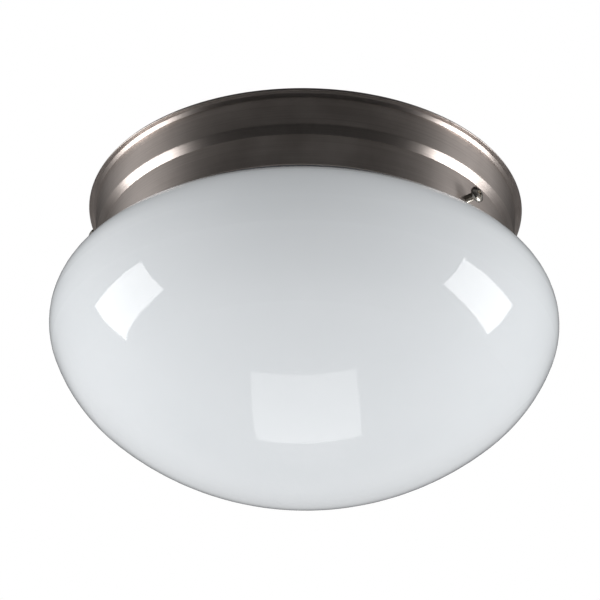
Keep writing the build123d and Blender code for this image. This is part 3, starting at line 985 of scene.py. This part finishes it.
@dataclass(frozen=True)
class LampHolders:
    """Two brackets with porcelain lampholders, and their fasteners."""

    bracket: float = 1.2        # thickness of its sheet
    screw_pitch: float = 18.0
    screw: CrossScrew = CrossScrew(2.8, 1.8, 0.8, 1.5, 6.0, 0.5, 0.28, 3.2, 0.7, 1.0)
    floor: float = 7.0          # from the lampholder's back
    shell_in: float = 13.23
    shell_out: float = 13.73
    shell_sheet: float = 0.25
    shell_len: float = 23.0
    shell_hole: float = 8.5
    shell_fades: tuple[float, float] = (2.5, 1.5)   # from the ends to where the wave starts

    def build(self) -> None:
        """Build and dress the lampholders."""
        dress("bracket_rivets", ZINC_PLATE)
        screws = []
        for number, side in ((1, 1), (2, -1)):
            dress(f"socket_bracket_{number}", ZINC_PLATE)
            dress(f"lampholder_{number}", GLAZED_PORCELAIN)
            dress(f"centre_contact_{number}", DRAWN_BRASS)
            axis = lamp_spindle(side)
            show(f"brass_shell_{number}", self.shell(axis), DRAWN_BRASS, [f"screw_shell_{number}"])
            for across in (self.screw_pitch / 2, -self.screw_pitch / 2):
                tip = axis.start + axis.along * (self.screw.length - self.bracket)
                tip += Vector((0, across, 0))
                screws.append(self.screw.mesh(Spindle(tip, -axis.along, axis.up)))
        show("bracket_screws", together(screws), NICKEL_SCREW, ["lampholder_screws"])

    def shell(self, axis: Spindle) -> bpy.types.Mesh:
        """Build the brass shell, rolled outwards so that the lamp's cap slides free of it.

        Args:
            axis: the lamp's axis.

        Returns:
            The mesh of the shell.
        """
        start, end = self.floor, self.floor + self.shell_len
        inner, outer = self.shell_in, self.shell_in + self.shell_sheet

        def rolled(spots: np.ndarray) -> np.ndarray:
            """Push the sheet outwards by the wave."""
            wave = rolled_wave(spots, start + self.shell_fades[0], end - self.shell_fades[1])
            return (self.shell_out - outer) * wave

        run = [start + 0.5 + (end - start - 0.5) * n / CAP_ROWS for n in range(CAP_ROWS + 1)]
        line = [(s, inner) for s in run[::-1]]
        line += [(start + 0.5, self.shell_hole), (start, self.shell_hole), (start, outer)]
        line += [(s, outer) for s in run]
        return wrap(axis.turned(line + line[:1], 72, rolled))


@dataclass(frozen=True)
class Lamps:
    """Two lamps with frosted bulbs on rolled screw caps."""

    cap_at: float = 15.0        # from the lampholder's back
    cap_len: float = 16.0
    cap_r: float = 13.15
    cap_edge: float = 1.0
    sheet: float = 0.35
    hole_r: float = 9.4
    thread_depth: float = 0.75
    fades: tuple[float, float] = (1.5, 3.6)     # from the cap's ends to where the wave starts

    def build(self) -> None:
        """Build and dress both lamps."""
        for number, side in ((1, 1), (2, -1)):
            dress(f"lamp_bulb_{number}", FROSTED_GLASS)
            dress(f"lamp_insulator_{number}", BLACK_GLASS)
            dress(f"lamp_tip_{number}", ZINC_PLATE)
            mesh = self.cap(lamp_spindle(side))
            show(f"threaded_cap_{number}", mesh, CAP_ALUMINIUM, [f"lamp_cap_{number}"])

    def cap(self, axis: Spindle) -> bpy.types.Mesh:
        """Build the cap with its rolled thread.

        Args:
            axis: the lamp's axis.

        Returns:
            The mesh of the cap, outside and inside.
        """
        start, end, edge = self.cap_at, self.cap_at + self.cap_len, self.cap_edge

        def rolled(spots: np.ndarray) -> np.ndarray:
            """Pull the sheet inwards by the wave."""
            wave = rolled_wave(spots, start + self.fades[0], end - self.fades[1])
            return -self.thread_depth * wave

        run = [start + edge + (end - start - edge) * n / CAP_ROWS for n in range(CAP_ROWS + 1)]
        line = [(start, self.hole_r), (start, self.cap_r - edge)]
        line += [(start + edge - edge * cos(t), self.cap_r - edge + edge * sin(t))
                 for t in (pi / 8, pi / 4, 3 * pi / 8)]
        line += [(s, self.cap_r) for s in run]
        line += [(s, self.cap_r - self.sheet) for s in run[::-1]]
        line += [(start + self.sheet, self.cap_r - edge), (start + self.sheet, self.hole_r)]
        return wrap(axis.turned(line + line[:1], 96, rolled))


# ------------------------------------------------------------------ studio

@dataclass(frozen=True)
class Softbox:
    """A flat rectangular studio light."""

    name: str
    center: Triple
    wide: Triple        # the way of its width
    width: float
    height: float
    glow: float         # how bright its face looks, where 1 is white
    back: Triple        # away from what it lights

    def build(self) -> None:
        """Hang the light."""
        lamp = bpy.data.lights.new(self.name, "AREA")
        lamp.shape, lamp.size, lamp.size_y = "RECTANGLE", self.width * MM, self.height * MM
        lamp.energy = self.glow * pi * lamp.size * lamp.size_y
        holder = put_in_scene(self.name, lamp)
        back = Vector(self.back).normalized()           # an area light shines along its own -Z
        across = Vector(self.wide)
        across = (across - back * across.dot(back)).normalized()
        up = back.cross(across)
        turn = Matrix((across, up, back)).transposed().to_4x4()
        holder.matrix_world = Matrix.Translation(Vector(self.center) * MM) @ turn
        holder.visible_camera = False


@dataclass(frozen=True)
class Studio:
    """The pale floor, the dim glowing cards that paint the reflections, the softboxes and the
    room's own light.
    """

    softboxes: tuple[Softbox, ...] = (
        Softbox("softbox_left", (-1200, -80, -524), (0.354, 0.072, -0.932), 489, 720, 6.6,
                (-0.935, 0.003, -0.355)),
        Softbox("softbox_right", (1190, -145, -470), (-0.354, 0.072, -0.932), 440, 730, 6.6,
                (0.93, -0.06, -0.34)),
        Softbox("softbox_low", (22, 435, -1253), (0.998, -0.056, 0.0), 700, 813, 2.1,
                (0.0, 0.0, -1.0)),
    )
    room: float = 0.54          # even light of the room on matt surfaces
    floor_z: float = -1900.0
    floor_r: float = 3000.0
    floor_flat: float = 2700.0  # from here the floor rounds up
    floor_rise: float = 100.0
    card_r: float = 1700.0
    card_low: float = -1700.0
    card_high: float = 2200.0
    card_glow: tuple[Point, ...] = (     # how bright the cards look at each height
        (-600.0, 0.007), (300.0, 0.035), (700.0, 0.075), (1100.0, 0.18), (1400.0, 0.14),
        (1800.0, 0.01), (2200.0, 0.007),
    )
    card_back: tuple[Point, ...] = (     # and how bright those behind it
        (-1300.0, 0.01), (-700.0, 0.38), (80.0, 0.35), (450.0, 0.02), (2200.0, 0.004),
    )
    back_from: float = 900.0    # distances along Y between which one goes over into the other
    back_to: float = 1620.0
    card_spill: tuple[Point, ...] = (    # painted spill: the glow the softboxes would throw on the cards beside them
        (-1500.0, 0.0), (-900.0, 0.36), (1300.0, 0.36), (1800.0, 0.0),
    )
    spill_turn: float = 6.0     # degrees behind the left and right where the spill is brightest
    spill_reach: float = 12.0   # the power that keeps the spill near the softboxes

    def build(self) -> None:
        """Set up floor, cards, lights and world."""
        for box in self.softboxes:
            box.build()
        self.floor()
        self.cards()
        self.world()

    def floor(self) -> None:
        """Lay the pale floor, softly rounded up at its edges."""
        spindle = Spindle(Vector((0, 0, self.floor_z)))
        line = [(0.0, 1.0), (0.0, self.floor_r / 2), (0.0, self.floor_flat)]
        for turn in (radians(30), radians(60), radians(90)):
            reach = self.floor_flat + (self.floor_r - self.floor_flat) * sin(turn)
            line.append((self.floor_rise * (1 - cos(turn)), reach))
        mesh = wrap(spindle.turned(line, 96), True)
        mesh.shade_smooth()
        material = blank_material("Matt white studio floor")
        tree = material.node_tree
        matt = add_node(tree, "BsdfDiffuse", links={"Color": linear("#F4F4F4")})
        add_node(tree, "OutputMaterial", links={"Surface": matt.outputs[0]})
        mesh.materials.append(material)
        put_in_scene("studio_floor", mesh)

    def cards(self) -> None:
        """Stand dim glowing cards round and under the light, which only its shiny surfaces see;
        their glow is a painted reflection of a dark room and of the softboxes' spill.
        """
        line = [(self.card_low, 1.0), (self.card_low, self.card_r), (self.card_high, self.card_r),
                (self.card_high, 1.0)]
        mesh = wrap(Spindle().turned(line, 64))
        material = blank_material("Glowing studio card, painted reflections")
        tree = material.node_tree
        split = add_node(
            tree, "SeparateXYZ", links={0: add_node(tree, "TexCoord").outputs["Object"]}
        )
        reach = self.card_high - self.card_low
        place = add_node(
            tree, "MapRange", None,
            {0: split.outputs[2], 1: self.card_low * MM, 2: self.card_high * MM},
        )
        fades = []
        for course in (self.card_glow, self.card_spill, self.card_back):
            fade = add_node(tree, "ValToRGB", links={0: place.outputs[0]})
            stops = fade.color_ramp.elements
            for number, (height, bright) in enumerate(course):
                stop = stops[number] if number < 2 else stops.new(1.0)
                stop.position = (height - self.card_low) / reach
                stop.color = (bright, bright, bright, 1)
            fades.append(fade.outputs[0])
        behind = add_node(
            tree, "MapRange", None,
            {0: split.outputs[1], 1: self.back_from * MM, 2: self.back_to * MM},
        )
        even = add_node(
            tree, "Mix", {"data_type": "FLOAT"}, {0: behind.outputs[0], 2: fades[0], 3: fades[2]}
        )
        turn = radians(self.spill_turn)
        aside = add_node(tree, "Math", {"operation": "ABSOLUTE"}, {0: split.outputs[0]})
        sideways = add_node(
            tree, "Math", {"operation": "MULTIPLY"},
            {0: aside.outputs[0], 1: cos(turn) * per(self.card_r)},
        )
        beside = add_node(
            tree, "Math", {"operation": "MULTIPLY_ADD", "use_clamp": True},
            {0: split.outputs[1], 1: sin(turn) * per(self.card_r), 2: sideways.outputs[0]},
        )
        near = add_node(
            tree, "Math", {"operation": "POWER"}, {0: beside.outputs[0], 1: self.spill_reach}
        )
        lit = add_node(
            tree, "Math", {"operation": "MULTIPLY_ADD"},
            {0: fades[1], 1: near.outputs[0], 2: even.outputs[0]},
        )
        # the cards' emission is painted reflected light, seen only in shiny surfaces, not a lamp
        glow = add_node(tree, "Emission", links={"Strength": lit.outputs[0]})
        add_node(tree, "OutputMaterial", links={"Surface": glow.outputs[0]})
        mesh.materials.append(material)
        card = put_in_scene("studio_cards", mesh)
        card.visible_camera = card.visible_diffuse = card.visible_shadow = False
        card.visible_transmission = card.visible_volume_scatter = False

    def world(self) -> None:
        """Make the room white to the camera and to glass and metal, and soft to the rest."""
        world = bpy.data.worlds.new("studio")
        bpy.context.scene.world = world
        world.use_nodes = True
        tree = world.node_tree
        tree.nodes.clear()
        path = add_node(tree, "LightPath")
        seen = add_node(
            tree, "Math", {"operation": "MAXIMUM"},
            {0: path.outputs["Is Camera Ray"], 1: path.outputs["Is Glossy Ray"]},
        )
        seen = add_node(
            tree, "Math", {"operation": "MAXIMUM"},
            {0: seen.outputs[0], 1: path.outputs["Is Transmission Ray"]},
        )
        level = add_node(
            tree, "MapRange", None, {0: seen.outputs[0], 3: self.room, 4: 1.0}
        )
        sky = add_node(
            tree, "Background", links={"Color": (1, 1, 1, 1), "Strength": level.outputs[0]}
        )
        add_node(tree, "OutputWorld", links={"Surface": sky.outputs[0]})


@dataclass(frozen=True)
class PhotoCamera:
    """A camera below and in front of the light, as in the photograph."""

    place: Triple = (0.0, -753.64, -496.33)
    heading: float = -0.1686        # degrees from +Y towards +X
    rise: float = 30.703            # degrees above the horizon
    roll: float = -0.766            # degrees
    focal: float = 1724.95          # in pixels of a frame 600 pixels wide
    frame: float = 600.0
    sensor: float = 36.0
    near: float = 0.05              # metres
    far: float = 50.0

    def build(self) -> None:
        """Set up the camera."""
        data = bpy.data.cameras.new("photo_camera")
        data.sensor_width = self.sensor
        data.lens = self.focal / self.frame * self.sensor
        data.clip_start, data.clip_end = self.near, self.far
        camera = put_in_scene("photo_camera", data)
        turn, lift = radians(self.heading), radians(self.rise)
        ahead = Vector((sin(turn) * cos(lift), cos(turn) * cos(lift), sin(lift)))
        camera.rotation_mode = "QUATERNION"
        camera.rotation_quaternion = (
            ahead.to_track_quat("-Z", "Y") @ Quaternion((0, 0, 1), radians(-self.roll))
        )
        camera.location = Vector(self.place) * MM
        bpy.context.scene.camera = camera


def main() -> None:
    """Build the light, the studio and the camera."""
    logging.basicConfig(level=logging.INFO, format="%(name)s: %(message)s")
    bpy.context.scene.view_settings.view_transform = "Standard"
    parts = (
        PhotoCamera(), Canopy(), ClampedShade(), BackPlate(), LampHolders(), Lamps(), Studio(),
    )
    for part in parts:
        log.info("building %s", type(part).__name__)
        part.build()


if __name__ == "__main__":
    main()
